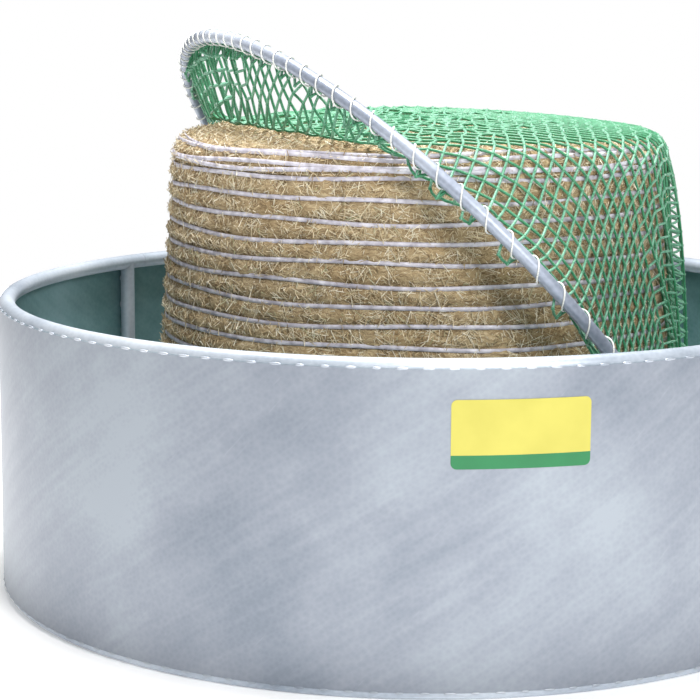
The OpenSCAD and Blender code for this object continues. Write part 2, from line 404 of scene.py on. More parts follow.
def side_radius(z, sizes):
    """Radius of the bale at height z, below its shoulder."""
    belly = 0.45  # the taper starts at this share of the edge's height
    start, end = belly * sizes.edge_h, sizes.edge_h - sizes.shoulder
    share = np.clip((np.asarray(z) - start) / (end - start), 0, 1)
    return BALE_R - sizes.taper * share


SHOULDER_END_DEG = 75  # how far up the shoulder's round the crown starts


def crown_height(r, sizes):
    """Height of the bale's top at radius r: a parabola that meets the shoulder's round."""
    foot_r = BALE_R - sizes.taper - sizes.shoulder * (1 - math.cos(math.radians(SHOULDER_END_DEG)))
    foot_z = sizes.edge_h - sizes.shoulder * (1 - math.sin(math.radians(SHOULDER_END_DEG)))
    return BALE_TOP - (BALE_TOP - foot_z) * (np.asarray(r) / foot_r) ** 2


def top_edge(sizes):
    """Radius of the side at the shoulder, and where the middle of the shoulder's round is."""
    top_r = BALE_R - sizes.taper
    return top_r, top_r - sizes.shoulder, sizes.edge_h - sizes.shoulder


def bale_outline(sizes):
    """(radius, height) pairs from the ground up to the crown, with the hay standing out between bands."""
    start = []
    top_r, _, shoulder_z = top_edge(sizes)
    for z in np.arange(0.0, shoulder_z, sizes.band_pitch / 6):
        wave = abs(math.sin(math.pi * (z - band_start(sizes)) / sizes.band_pitch)) ** 0.6
        start.append((side_radius(z, sizes) - sizes.bulge * 0.6 + sizes.bulge * wave, z))
    for a in range(0, SHOULDER_END_DEG + 1, 15):
        a = math.radians(a)
        start.append((top_r - sizes.shoulder * (1 - math.cos(a)), shoulder_z + sizes.shoulder * math.sin(a)))
    last = start[-1][0]
    for k in range(23, 0, -1):
        r = last * k / 24
        start.append((r, float(crown_height(r, sizes))))
    return start


def band_start(sizes):
    """Height of the wrap's top strand on the bale's side."""
    return sizes.edge_h - sizes.shoulder - 0.018


def hay_material():
    """Pressed meadow hay: dry stalks laid every way, straw-yellow on top and brown in the gaps, with painted shade
    in the gaps and a painted highlight on the raised stalks around the hay's own tan.
    """
    material, tree, shader = new_material("pressed_meadow_hay")
    place = object_point(tree)
    warp = add(tree, "ShaderNodeTexNoise", {"Vector": place, "Scale": 22.0, "Detail": 3.0})
    shift = add(tree, "ShaderNodeVectorMath", {0: warp.outputs["Color"], "Scale": 0.06}, operation="SCALE")
    bent = add(tree, "ShaderNodeVectorMath", {0: place, 1: shift.outputs[0]}, operation="ADD")
    stalks = []
    for turn, seed in ((0.5, 0.0), (-0.7, 3.1)):
        laid = add(tree, "ShaderNodeMapping", {"Vector": bent.outputs[0], "Rotation": (turn, turn * 0.6, seed),
                                               "Scale": (30.0, 30.0, 260.0)})
        stalks.append(add(tree, "ShaderNodeTexNoise", {"Vector": laid.outputs[0], "Scale": 1.0, "Detail": 3.0,
                                                       "Roughness": 0.7}).outputs["Fac"])
    best = add(tree, "ShaderNodeMath", {0: stalks[0], 1: stalks[1]}, operation="MAXIMUM")
    # Painted shade and highlight: where the stalk pattern is low, in the gaps that the bump sinks, the ramp turns
    # dark brown, and where it is high, pale straw. Its middle stops are the hay's own tan.
    tint = ramp(tree, best.outputs[0], [(0.42, "#77654a"), (0.52, "#a7926f"), (0.62, "#c6b38f"), (0.76, "#e2d4b6")])
    patch = add(tree, "ShaderNodeTexNoise", {"Vector": place, "Scale": 6.0, "Detail": 3.0})
    shade = ramp(tree, patch.outputs["Fac"], [(0.3, "#d5c8b2"), (0.7, "#ffffff")])
    mixed = add(tree, "ShaderNodeMix", {"Factor": 0.8, 6: tint, 7: shade}, data_type="RGBA", blend_type="MULTIPLY")
    bump = add(tree, "ShaderNodeBump", {"Strength": 0.9, "Distance": 0.004, "Height": best.outputs[0]})
    feed(tree, shader, {"Base Color": mixed.outputs[2], "Normal": bump.outputs[0], "Roughness": 0.85})
    return material


def straw_material():
    """Dry hay stalks, from bleached straw to brown and a little green, told apart stalk by stalk."""
    material, tree, shader = new_material("dry_hay_stalks")
    tone = add(tree, "ShaderNodeAttribute", attribute_name="tone")
    tint = ramp(tree, tone.outputs["Fac"], [(0.0, "#846d4c"), (0.2, "#b09a74"), (0.45, "#cdbb98"),
                                            (0.7, "#e2d4b4"), (0.92, "#f5eedb"), (1.0, "#b4b288")])
    feed(tree, shader, {"Base Color": tint, "Roughness": 0.7})
    return material


def straw_tree():
    """Straws: short bent stalks strewn over a surface, lying close to it."""
    tree, given, output = geometry_tree("Straws", [
        ("Density", "NodeSocketFloat", 6000.0), ("Length", "NodeSocketFloat", 0.04),
        ("Width", "NodeSocketFloat", 0.002), ("Lift", "NodeSocketFloat", 0.25),
        ("Seed", "NodeSocketInt", 1), ("Material", "NodeSocketMaterial", None)])
    strewn = add(tree, "GeometryNodeDistributePointsOnFaces", {
        "Mesh": given["Geometry"], "Density": given["Density"], "Seed": given["Seed"]})
    stalk = add(tree, "GeometryNodeCurvePrimitiveBezierSegment", {
        "Resolution": 1, "Start": (-0.5, 0, 0), "Start Handle": (-0.2, 0.04, 0.1),
        "End Handle": (0.2, -0.06, 0.1), "End": (0.5, 0.02, 0)}, mode="POSITION")
    thin = add(tree, "ShaderNodeMath", {0: given["Width"], 1: given["Length"]}, operation="DIVIDE")
    wide = add(tree, "ShaderNodeMath", {0: thin.outputs[0], 1: 0.5}, operation="MULTIPLY")
    ring = add(tree, "GeometryNodeCurvePrimitiveCircle", {"Resolution": 3, "Radius": wide.outputs[0]})
    slim = add(tree, "GeometryNodeCurveToMesh", {"Curve": stalk.outputs[0], "Profile Curve": ring.outputs[0],
                                                 "Fill Caps": False})
    spin = add(tree, "FunctionNodeRandomValue", {2: -3.14159, 3: 3.14159, "Seed": given["Seed"]})
    tilt = add(tree, "FunctionNodeRandomValue", {2: -1.0, 3: 1.0, "Seed": 7})
    lean = add(tree, "ShaderNodeMath", {0: tilt.outputs[1], 1: given["Lift"]}, operation="MULTIPLY")
    local = add(tree, "ShaderNodeCombineXYZ", {"Y": lean.outputs[0], "Z": spin.outputs[1]})
    to_rotation = add(tree, "FunctionNodeEulerToRotation", {0: local.outputs[0]})
    turned = add(tree, "FunctionNodeRotateRotation", {
        "Rotation": strewn.outputs["Rotation"], "Rotate By": to_rotation.outputs[0]}, rotation_space="LOCAL")
    vary = add(tree, "FunctionNodeRandomValue", {2: 0.45, 3: 1.5, "Seed": 3})
    long = add(tree, "ShaderNodeMath", {0: given["Length"], 1: vary.outputs[1]}, operation="MULTIPLY")
    placed = add(tree, "GeometryNodeInstanceOnPoints", {
        "Points": strewn.outputs["Points"], "Instance": slim.outputs[0],
        "Rotation": turned.outputs[0], "Scale": long.outputs[0]})
    tone = add(tree, "FunctionNodeRandomValue", {2: 0.0, 3: 1.0, "Seed": 11})
    named = add(tree, "GeometryNodeStoreNamedAttribute", {
        "Geometry": placed.outputs[0], "Name": "tone", "Value": tone.outputs[1]},
        data_type="FLOAT", domain="INSTANCE")
    close_tree(tree, named.outputs[0], given, output)
    return tree


def lathe(name, outline, steps, from_deg=0.0, turn_deg=360.0):
    """Turns an outline of (radius, height) pairs about Z."""
    whole = turn_deg >= 360
    count = steps if whole else steps + 1
    angles = np.radians(from_deg + np.arange(count) * turn_deg / steps)
    points = [(r * math.cos(a), r * math.sin(a), z) for r, z in outline for a in angles]
    faces = []
    for k in range(len(outline) - 1):
        for i in range(count if whole else count - 1):
            j = (i + 1) % count
            faces.append((k * count + i, k * count + j, (k + 1) * count + j, (k + 1) * count + i))
    return new_piece(name, points, (), faces)


def roughen(piece, amount, scale):
    """Pushes a piece's points along their normals by smooth noise."""
    mesh = piece.data
    moved = [v.co + v.normal * (noise.fractal(v.co * scale, 0.8, 2.0, 4) * amount) for v in mesh.vertices]
    mesh.vertices.foreach_set("co", [c for co in moved for c in co])
    mesh.update()
    return piece


class FEEDER_OT_bale(bpy.types.Operator):
    """Makes the hay bale with its loose stalks and the strands of its wrap"""
    bl_idname = "feeder.bale"
    bl_label = "Hay bale"

    def execute(self, context):
        sizes = context.scene.feeder_bale
        steps = 288
        outline = bale_outline(sizes)
        bale = lathe("hay_bale_body", outline, steps)
        mesh = bmesh.new()
        mesh.from_mesh(bale.data)
        mesh.verts.ensure_lookup_table()
        count = len(outline)
        mesh.faces.new([mesh.verts[i] for i in reversed(range(steps))])
        mesh.faces.new([mesh.verts[(count - 1) * steps + i] for i in range(steps)])
        mesh.to_mesh(bale.data)
        mesh.free()
        roughen(bale, 0.007, 24.0)
        for vertex in bale.data.vertices:
            vertex.co.z = max(vertex.co.z, 0.0)
        smooth(bale)
        bale.data.materials.append(hay_material())
        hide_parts("hay_bale")
        stalks = straw_material()
        tree = straw_tree()
        side_rows = [p for p in outline if p[1] < sizes.edge_h - sizes.shoulder]
        top_rows = outline[len(side_rows) - 1:]
        third = len(side_rows) // 3
        parts = [("hay_stalks_low", side_rows[:third + 1], 0.22, 21, 0.3),
                 ("hay_stalks_mid", side_rows[third:2 * third + 1], 0.22, 22, 0.7),
                 ("hay_stalks_high", side_rows[2 * third:], 0.24, 23, 1.0),
                 ("hay_stalks_top", top_rows, 0.6, 24, 0.75)]
        for name, rows, lift, seed, share in parts:
            piece = lathe(name, rows, 144)
            grown(piece, tree, {"Density": sizes.straws * share, "Length": sizes.straw_l,
                                "Width": sizes.straw_d, "Lift": lift, "Seed": seed, "Material": stalks})
            for vertex in piece.data.vertices:
                vertex.co.z = max(vertex.co.z, 0.0)
            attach(piece, "drum")
        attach(bale, "drum")
        wrap = wrap_bands(sizes)
        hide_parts("bale_wrap")
        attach(wrap, "drum")
        return {"FINISHED"}


def band_tree():
    """Wrap bands: a flat tape along each guide loop."""
    tree, given, output = geometry_tree("Wrap bands", [
        ("Width", "NodeSocketFloat", 0.006), ("Thickness", "NodeSocketFloat", 0.0012),
        ("Material", "NodeSocketMaterial", None)])
    line = add(tree, "GeometryNodeMeshToCurve", {"Mesh": given["Geometry"]})
    flat = add(tree, "GeometryNodeSetCurveNormal", {"Curve": line.outputs[0]}, mode="Z_UP")
    tape = add(tree, "GeometryNodeCurvePrimitiveQuadrilateral", {
        "Width": given["Thickness"], "Height": given["Width"]})
    swept = add(tree, "GeometryNodeCurveToMesh", {"Curve": flat.outputs[0], "Profile Curve": tape.outputs[0]})
    close_tree(tree, swept.outputs[0], given, output)
    return tree


def wrap_material():
    """Knitted polyethylene net wrap, pale lilac-grey, semi-matt, pulled into flat strands."""
    material, tree, shader = new_material("knitted_polyethylene_wrap")
    place = object_point(tree)
    wear = add(tree, "ShaderNodeTexNoise", {"Vector": place, "Scale": 40.0, "Detail": 4.0})
    tint = ramp(tree, wear.outputs["Fac"], [(0.35, "#a9a4ae"), (0.5, "#c6c2cc"), (0.7, "#e4e1e9")])
    feed(tree, shader, {"Base Color": tint, "Roughness": 0.5})
    return material


def wrap_bands(sizes):
    """The strands of the wrap, sunk in the hay's grooves, with two pairs more round the top edge."""
    steps = 240
    heights = []
    z = band_start(sizes)
    while z > 0.03:
        heights.append(z)
        z -= sizes.band_pitch
    top = sizes.edge_h - sizes.shoulder
    heights += [top + rise for rise in (0.002, 0.011, 0.036, 0.044)]
    points, edges = [], []
    turn = np.linspace(0, 2 * np.pi, steps, endpoint=False)
    for k, z in enumerate(heights):
        wander = 0.004 * np.sin(3 * turn + 1.7 * k) + 0.003 * np.sin(7 * turn + 0.9 * k * k)
        height = z + wander
        r = side_radius(height, sizes) - sizes.bulge * 0.45 + (0.013 if z > top else 0.0095)
        over = np.clip(height - top, 0, sizes.shoulder)
        r = r - (sizes.shoulder - np.sqrt(np.maximum(sizes.shoulder ** 2 - over ** 2, 0)))
        start = len(points)
        points += list(np.stack([r * np.cos(turn), r * np.sin(turn), height], -1))
        edges += loop_edges(steps, start)
    piece = new_piece("bale_wrap_bands", points, edges)
    return grown(piece, band_tree(), {"Width": sizes.band_w, "Thickness": 0.0015, "Material": wrap_material()})


# ---------------------------------------------------------------- net ring

def ring_frame():
    """The net ring's middle, its axes (down its slope, level, out of its plane), its radius, its tube's."""
    tilt = joint("net_frame_tilt")
    level = Vector(tilt["axis"]).normalized()
    slope = math.radians(-tilt["range_deg"][0])
    outward = Vector((level.y, -level.x, 0))
    down = outward * math.cos(slope) - Vector((0, 0, math.sin(slope)))
    normal = down.cross(level)
    co = np.array([v.co for v in frame["nodes"]["net_ring_tube"].data.vertices])
    along = co @ np.array([down, level, normal]).T
    low, high = along.min(0), along.max(0)
    middle = (low + high) / 2
    tube_r = (high[2] - low[2]) / 2
    radius = (high[1] - low[1]) / 2 - tube_r
    centre = down * middle[0] + level * middle[1] + normal * middle[2]
    return centre, down, level, normal, radius, tube_r


def on_ring(angle, radius, rise=0.0):
    """Points at these angles round the ring's axis, at this radius and height over its plane."""
    angle = np.asarray(angle)[..., None]
    round_it = np.cos(angle) * np.array(RING_DOWN) + np.sin(angle) * np.array(RING_LEVEL)
    return np.array(RING_MIDDLE) + radius * round_it + np.asarray(rise)[..., None] * np.array(RING_NORMAL)


RING_MIDDLE, RING_DOWN, RING_LEVEL, RING_NORMAL, RING_R, RING_TUBE_R = ring_frame()
ROPE_R = RING_R - RING_TUBE_R - 0.004  # the net's edge, where the lacing holds it


# ---------------------------------------------------------------- net

def meridians(sizes, net, count=96, fine=70):
    """For each direction round the bale: the tightest line from the middle of its top to the ring."""
    turn = np.linspace(0, 2 * np.pi, 1440, endpoint=False)
    ring = on_ring(turn, ROPE_R)
    ring_azimuth = np.unwrap(np.arctan2(ring[:, 1], ring[:, 0]))
    azimuths = np.linspace(-np.pi, np.pi, count, endpoint=False)
    gap = net.clearance
    _, shoulder_r, shoulder_z = top_edge(sizes)
    lines, ends, lengths = [], [], []
    for azimuth in azimuths:
        shifted = (azimuth - ring_azimuth[0]) % (2 * np.pi) + ring_azimuth[0]
        angle = np.interp(shifted, ring_azimuth, turn)
        ends.append(angle)
        end = on_ring(np.array([angle]), ROPE_R)[0]
        reach = math.hypot(end[0], end[1])
        line = [(0.0, BALE_TOP + gap)]
        for r in np.linspace(0.05, shoulder_r, 12):
            if end[2] > sizes.edge_h and r > reach * 0.62:
                break
            line.append((r, float(crown_height(r, sizes)) + gap))
        if end[2] <= sizes.edge_h + 0.08:
            for a in np.radians(np.arange(SHOULDER_END_DEG, -1, -5)):
                r = shoulder_r + (sizes.shoulder + gap) * math.cos(a)
                z = shoulder_z + (sizes.shoulder + gap) * math.sin(a)
                away = (reach - r) * math.cos(a) + (end[2] - z) * math.sin(a)
                if away > 0 or r > reach:
                    break
                line.append((r, z))
        line.append((reach, end[2]))
        line = np.array(line)
        step = np.concatenate([[0], np.cumsum(np.hypot(*np.diff(line, axis=0).T))])
        at = np.linspace(0, step[-1], fine)
        lengths.append(step[-1])
        lines.append(np.stack([np.interp(at, step, line[:, 0]), np.interp(at, step, line[:, 1])], -1))
    return azimuths, np.array(lines), np.unwrap(np.array(ends)), np.array(lengths)


def slack(azimuth, net):
    """Spare length of the net in this direction, more on the ring's high side."""
    low = math.atan2(RING_DOWN.y, RING_DOWN.x)
    high = (1 - np.cos(azimuth - low)) / 2
    return 1 + net.slack_low + (net.slack_high - net.slack_low) * high ** 2


def lattice(net, azimuths, lengths):
    """The flat net: points of a square grid stood on its corner, cut to reach the ring, with their bars."""
    reach = int(lengths.max() * 1.3 / net.bar) + 2
    i, j = np.meshgrid(np.arange(-reach, reach + 1), np.arange(-reach, reach + 1), indexing="ij")
    along = (i + j) * net.bar / math.sqrt(2)
    aside = (j - i) * net.bar / math.sqrt(2)
    x = along * math.cos(net.facing) - aside * math.sin(net.facing)
    y = along * math.sin(net.facing) + aside * math.cos(net.facing)
    azimuth, rho = spread(np.stack([x.ravel(), y.ravel()], -1), net.facing)
    wrapped = (azimuth + np.pi) % (2 * np.pi) - np.pi
    cut = np.interp(wrapped, azimuths, lengths, period=2 * np.pi) * slack(wrapped, net)
    share = (rho / cut).reshape(i.shape)
    rho = rho.reshape(i.shape)
    keep = rho <= cut.reshape(i.shape) + 0.7 * net.bar
    number = np.full(keep.shape, -1)
    number[keep] = np.arange(keep.sum())
    bars = {}
    for name, di, dj in (("rise", 1, 0), ("fall", 0, 1), ("tall", 1, 1), ("wide", 1, -1)):
        a = number[:keep.shape[0] - di, max(0, -dj):keep.shape[1] - max(0, dj)]
        b = number[di:, max(0, dj):keep.shape[1] + min(0, dj)] if di else number[:, dj:]
        parity = (i if di else j)[:a.shape[0], :a.shape[1]] % 2
        both = (a >= 0) & (b >= 0)
        bars[name] = [(a[both & (parity == p)], b[both & (parity == p)]) for p in (0, 1)]
    # Laced to the ring: the last points inside the cut line; what lies beyond hangs free as a fringe.
    inside = keep & (share <= 1)
    beyond = np.zeros_like(keep)
    for di, dj in ((1, 0), (-1, 0), (0, 1), (0, -1)):
        beyond |= ~np.roll(inside, (di, dj), (0, 1))
    laced = (inside & beyond)[keep]
    return wrapped.reshape(i.shape)[keep], share[keep], bars, laced


def spread(flat, facing):
    """The direction round the bale that each flat point hangs in: as cut over the top, and straight
    down its four sides, so that meshes keep their width there and gather between the sides."""
    angle = np.arctan2(flat[:, 1], flat[:, 0]) - facing
    side = np.round(angle / (np.pi / 2))
    local = angle - side * np.pi / 2
    rho = np.hypot(flat[:, 0], flat[:, 1])
    ahead, across = rho * np.cos(local), np.abs(rho * np.sin(local))
    x, full = across / BALE_R, np.maximum(ahead / BALE_R, 1e-6)
    excess = np.maximum(full - np.pi / 4, 0)
    power = np.where(excess > 0, np.maximum(full / np.maximum(excess, 1e-6), 1.0), 3.0)
    power = np.minimum(power, 3.0)
    straight = x - excess * (x / full) ** power
    straight = np.where(excess > 0, straight, np.abs(local))
    weight = np.clip((ahead - 0.5) / 0.3, 0, 1)
    weight = weight * weight * (3 - 2 * weight)
    turned = np.sign(local) * (np.abs(local) * (1 - weight) + straight * weight)
    return facing + side * np.pi / 2 + turned, rho


NUDGE = 0.002  # first disorder of the joints, so that slack net buckles unevenly
KEPT_SPEED = 0.93  # share of its speed that a joint keeps from one step to the next
SINK = 0.0006  # how far a joint sinks in a step by its weight
PASSES = 8  # corrections of the bars in a step
CRUSH = 0.35  # how firmly a bar holds out against being shortened, where 1 is rigid
MESH_MIN = 0.62  # least width of a mesh, in bars


def drape(sizes, net, steps):
    """Lets the laced net settle over the bale: bars keep their length, the hay and drum hold it off."""
    azimuths, lines, ends, lengths = meridians(sizes, net)
    azimuth, share, bars, laced = lattice(net, azimuths, lengths)
    count, fine = lines.shape[:2]
    turn = ((azimuth + np.pi) / (2 * np.pi) * count) % count
    k0 = np.floor(turn).astype(int) % count
    k1, part = (k0 + 1) % count, turn - np.floor(turn)
    at = np.clip(share, 0, 1) * (fine - 1)
    m0 = np.minimum(np.floor(at).astype(int), fine - 2)
    fm = at - m0

    def along(k):
        return lines[k, m0] * (1 - fm)[:, None] + lines[k, m0 + 1] * fm[:, None]

    pair = along(k0) * (1 - part)[:, None] + along(k1) * part[:, None]
    co = np.stack([pair[:, 0] * np.cos(azimuth), pair[:, 0] * np.sin(azimuth), pair[:, 1]], -1)
    seed = np.random.default_rng(5)
    co += seed.normal(0, NUDGE, co.shape)
    step_end = (ends[k1] - ends[k0] + np.pi) % (2 * np.pi) - np.pi
    ring_angle = ends[k0] + step_end * part
    pins = np.where(laced)[0]
    co[pins] = on_ring(ring_angle[pins], ROPE_R)
    loose = share > 1
    co[loose] = on_ring(ring_angle[loose], ROPE_R, np.full(loose.sum(), -0.02))
    free = np.ones(len(co))
    free[pins] = 0.0
    old = co.copy()
    top_r, shoulder_r, shoulder_z = top_edge(sizes)
    wall = WALL_R - 0.003 - 2 * TUBE_R - 0.012
    gap = net.clearance
    bar, least = net.bar, net.bar * MESH_MIN
    sides = [pair for name in ("rise", "fall") for pair in bars[name]]
    spans = [pair for name in ("tall", "wide") for pair in bars[name]]
    for _ in range(steps):
        move = (co - old) * KEPT_SPEED
        old = co.copy()
        co = co + (move + np.array([0, 0, -SINK])) * free[:, None]
        for _ in range(PASSES):
            for k, (a, b) in enumerate(sides + spans):
                span = co[b] - co[a]
                dist = np.linalg.norm(span, axis=1) + 1e-9
                if k < len(sides):
                    stiff = np.where(dist > bar, 1.0, CRUSH)
                    total = np.maximum(free[a] + free[b], 1e-6)
                    fix = span * (stiff * (dist - bar) / dist / total)[:, None]
                else:
                    fix = span * (np.minimum(dist - least, 0) * 0.3 / dist)[:, None] / 2
                co[a] += fix * free[a][:, None]
                co[b] -= fix * free[b][:, None]
            co = held_off(co, old, free, sizes, gap, top_r, shoulder_r, shoulder_z, wall)
    # Twine that buckled up on top, by less than this, lies down again under its own weight.
    buckle = 0.07
    r = np.hypot(co[:, 0], co[:, 1])
    rise = co[:, 2] - crown_height(np.minimum(r, shoulder_r), sizes) - gap
    lies = (free > 0) & (r < top_r) & (rise > 0) & (rise < buckle)
    co[lies, 2] -= 0.75 * rise[lies] * np.clip((buckle - rise[lies]) / 0.03, 0, 1)
    return co, bars


def held_off(co, old, free, sizes, gap, top_r, shoulder_r, shoulder_z, wall):
    """Keeps free points out of the bale, inside the drum and off the ground."""
    r = np.hypot(co[:, 0], co[:, 1]) + 1e-9
    z = co[:, 2]
    side = side_radius(z, sizes) + gap
    crown = crown_height(np.minimum(r, top_r), sizes) + gap
    in_corner = (r > shoulder_r) & (z > shoulder_z)
    corner = np.hypot(r - shoulder_r, z - shoulder_z) + 1e-9
    new_r, new_z = r.copy(), z.copy()
    hit_corner = in_corner & (corner < sizes.shoulder + gap)
    scale = (sizes.shoulder + gap) / corner
    new_r = np.where(hit_corner, shoulder_r + (r - shoulder_r) * scale, new_r)
    new_z = np.where(hit_corner, shoulder_z + (z - shoulder_z) * scale, new_z)
    inside = ~in_corner & (r < side) & (z < crown)
    by_side = inside & ((side - r) < (crown - z)) & (z <= shoulder_z)
    by_top = inside & ~by_side & (r <= shoulder_r)
    new_r = np.where(by_side, side, new_r)
    new_z = np.where(by_top, crown, new_z)
    touch = (hit_corner | by_side | by_top) & (free > 0)
    new_r = np.where((z < RIM_Z + TUBE_R), np.minimum(new_r, wall), new_r)
    new_z = np.maximum(new_z, 0.012)
    out = co.copy()
    ratio = new_r / r
    out[:, 0] = np.where(free > 0, co[:, 0] * ratio, co[:, 0])
    out[:, 1] = np.where(free > 0, co[:, 1] * ratio, co[:, 1])
    out[:, 2] = np.where(free > 0, new_z, co[:, 2])
    # Dry friction: a point that lies on the hay gives up most of its slip.
    slip = (out - old) * 0.6
    out[touch] -= slip[touch]
    return out


def twine_material():
    """Braided knotless polypropylene twine, deep green: the strands that rise to the right get a painted
    highlight, a paler copy of the green, with random wear, and the braid shows as a fine ripple whose
    grooves are painted darker as shade."""
    material, tree, shader = new_material("braided_polypropylene_twine")
    place = object_point(tree)
    braid = add(tree, "ShaderNodeTexVoronoi", {"Vector": place, "Scale": 300.0})
    # Two copies of the twine: deep is its own green, pale a painted highlight. In both, the braid's grooves get
    # painted shade, darker away from each cell's middle.
    deep = ramp(tree, braid.outputs["Distance"], [(0.1, "#309161"), (0.5, "#227c4f"), (0.9, "#0f5935")])
    pale = ramp(tree, braid.outputs["Distance"], [(0.1, "#99bfad"), (0.5, "#67a788"), (0.9, "#35815c")])
    tone = add(tree, "ShaderNodeAttribute", attribute_name="tone")
    wear = add(tree, "ShaderNodeTexNoise", {"Vector": place, "Scale": 18.0, "Detail": 3.0})
    shift = add(tree, "ShaderNodeMapRange", {"Value": wear.outputs["Fac"], "From Min": 0.3, "From Max": 0.7,
                                             "To Min": -0.25, "To Max": 0.25})
    # The tone picks the painted highlight on rising strands, and random wear shifts it.
    lit_and_worn = add(tree, "ShaderNodeMath", {0: tone.outputs["Fac"], 1: shift.outputs[0]}, operation="ADD",
               use_clamp=True)
    mixed = add(tree, "ShaderNodeMix", {"Factor": lit_and_worn.outputs[0], 6: deep, 7: pale}, data_type="RGBA")
    bump = add(tree, "ShaderNodeBump", {"Strength": 0.5, "Distance": 0.0008, "Height": braid.outputs["Distance"]})
    feed(tree, shader, {"Base Color": mixed.outputs[2], "Normal": bump.outputs[0], "Roughness": 0.45,
                        "Sheen Weight": 0.25})
    return material


def netting_tree():
    """Netting: a twine along every chain of edges, and a joint on every point marked as one."""
    tree, given, output = geometry_tree("Netting", [
        ("Twine", "NodeSocketFloat", 0.006), ("Joint", "NodeSocketFloat", 0.0095),
        ("Material", "NodeSocketMaterial", None)])
    line = add(tree, "GeometryNodeMeshToCurve", {"Mesh": given["Geometry"]})
    half = add(tree, "ShaderNodeMath", {0: given["Twine"], 1: 0.5}, operation="MULTIPLY")
    ring = add(tree, "GeometryNodeCurvePrimitiveCircle", {"Resolution": 5, "Radius": half.outputs[0]})
    twine = add(tree, "GeometryNodeCurveToMesh", {"Curve": line.outputs[0], "Profile Curve": ring.outputs[0]})
    bead = add(tree, "GeometryNodeMeshIcoSphere", {"Radius": 0.5, "Subdivisions": 1})
    marked = add(tree, "GeometryNodeInputNamedAttribute", {"Name": "joint"}, data_type="FLOAT")
    chosen = add(tree, "ShaderNodeMath", {0: marked.outputs[0], 1: 0.5}, operation="GREATER_THAN")
    tied = add(tree, "GeometryNodeInstanceOnPoints", {
        "Points": given["Geometry"], "Selection": chosen.outputs[0], "Instance": bead.outputs["Mesh"],
        "Scale": given["Joint"]})
    both = add(tree, "GeometryNodeJoinGeometry")
    tree.links.new(twine.outputs[0], both.inputs[0])
    tree.links.new(tied.outputs[0], both.inputs[0])
    shaded = add(tree, "GeometryNodeSetShadeSmooth", {0: both.outputs[0]})
    close_tree(tree, shaded.outputs[0], given, output)
    return tree


def off_hay_tree(sizes, net):
    """Held off the hay: a point that is in the hay moves straight out from the bale's core."""
    tree, given, output = geometry_tree("Held off the hay", [("Hay", "NodeSocketObject", None)])
    hay = add(tree, "GeometryNodeObjectInfo", {"Object": given["Hay"]}, transform_space="RELATIVE")
    core = add(tree, "ShaderNodeCombineXYZ", {"Z": sizes.edge_h * 0.6})
    place = add(tree, "GeometryNodeInputPosition")
    away = add(tree, "ShaderNodeVectorMath", {0: place.outputs[0], 1: core.outputs[0]}, operation="SUBTRACT")
    straight = add(tree, "ShaderNodeVectorMath", {0: away.outputs[0]}, operation="NORMALIZE")
    far = add(tree, "ShaderNodeVectorMath", {0: away.outputs[0]}, operation="LENGTH")
    cast = add(tree, "GeometryNodeRaycast", {
        "Target Geometry": hay.outputs["Geometry"], "Source Position": core.outputs[0],
        "Ray Direction": straight.outputs[0], "Ray Length": 3.0})
    facing = add(tree, "GeometryNodeInputNormal")
    outer = add(tree, "ShaderNodeVectorMath", {0: facing.outputs[0], 1: straight.outputs[0]},
                operation="DOT_PRODUCT")
    thick = add(tree, "ShaderNodeMath", {0: outer.outputs["Value"], 1: net.twine_d / 2, 2: 0.008},
                operation="MULTIPLY_ADD")
    least = add(tree, "ShaderNodeMath", {0: cast.outputs["Hit Distance"], 1: thick.outputs[0]}, operation="ADD")
    short = add(tree, "ShaderNodeMath", {0: far.outputs["Value"], 1: least.outputs[0]}, operation="LESS_THAN")
    chosen = add(tree, "ShaderNodeMath", {0: short.outputs[0], 1: cast.outputs["Is Hit"]}, operation="MULTIPLY")
    out = add(tree, "ShaderNodeVectorMath", {0: straight.outputs[0], "Scale": least.outputs[0]}, operation="SCALE")
    moved = add(tree, "ShaderNodeVectorMath", {0: core.outputs[0], 1: out.outputs[0]}, operation="ADD")
    held = add(tree, "GeometryNodeSetPosition", {"Geometry": given["Geometry"], "Selection": chosen.outputs[0],
                                                 "Position": moved.outputs[0]})
    tree.links.new(held.outputs[0], output.inputs[0])
    return tree


def curved_bars(co, bars):
    """Guide points and edges for the twine: each bar bends with the chain of bars that it is part of."""
    points, edges, tones = [], [], []
    # Painted highlight: bars that rise take the pale, lit copy of the twine, and bars that fall take its deep green.
    for name, tone in (("rise", 0.85), ("fall", 0.1)):
        after = np.full(len(co), -1)
        before = np.full(len(co), -1)
        for a, b in bars[name]:
            after[a] = b
            before[b] = a
        start = np.where(after >= 0)[0]
        end = after[start]
        ahead = np.where(after[end] >= 0, after[end], end)
        behind = np.where(before[start] >= 0, before[start], start)
        middle = (9 * (co[start] + co[end]) - co[ahead] - co[behind]) / 16
        first = sum(len(p) for p in points)
        n = len(start)
        points += [co[start], middle, co[end]]
        edges += [np.stack([first + np.arange(n), first + n + np.arange(n)], -1),
                  np.stack([first + n + np.arange(n), first + 2 * n + np.arange(n)], -1)]
        tones.append(np.full(3 * n, tone))
    return np.concatenate(points), np.concatenate(edges), np.concatenate(tones)


def net_piece(name, points, edges, tones, joints, tree, values):
    """A piece of netting from guide points with a tone each and a mark where the net has a joint."""
    piece = new_piece(name, points, edges.tolist() if len(edges) else ())
    for label, data in (("tone", tones), ("joint", joints)):
        layer = piece.data.attributes.new(label, "FLOAT", "POINT")
        layer.data.foreach_set("value", np.asarray(data, dtype=np.float32))
    return grown(piece, tree, values)


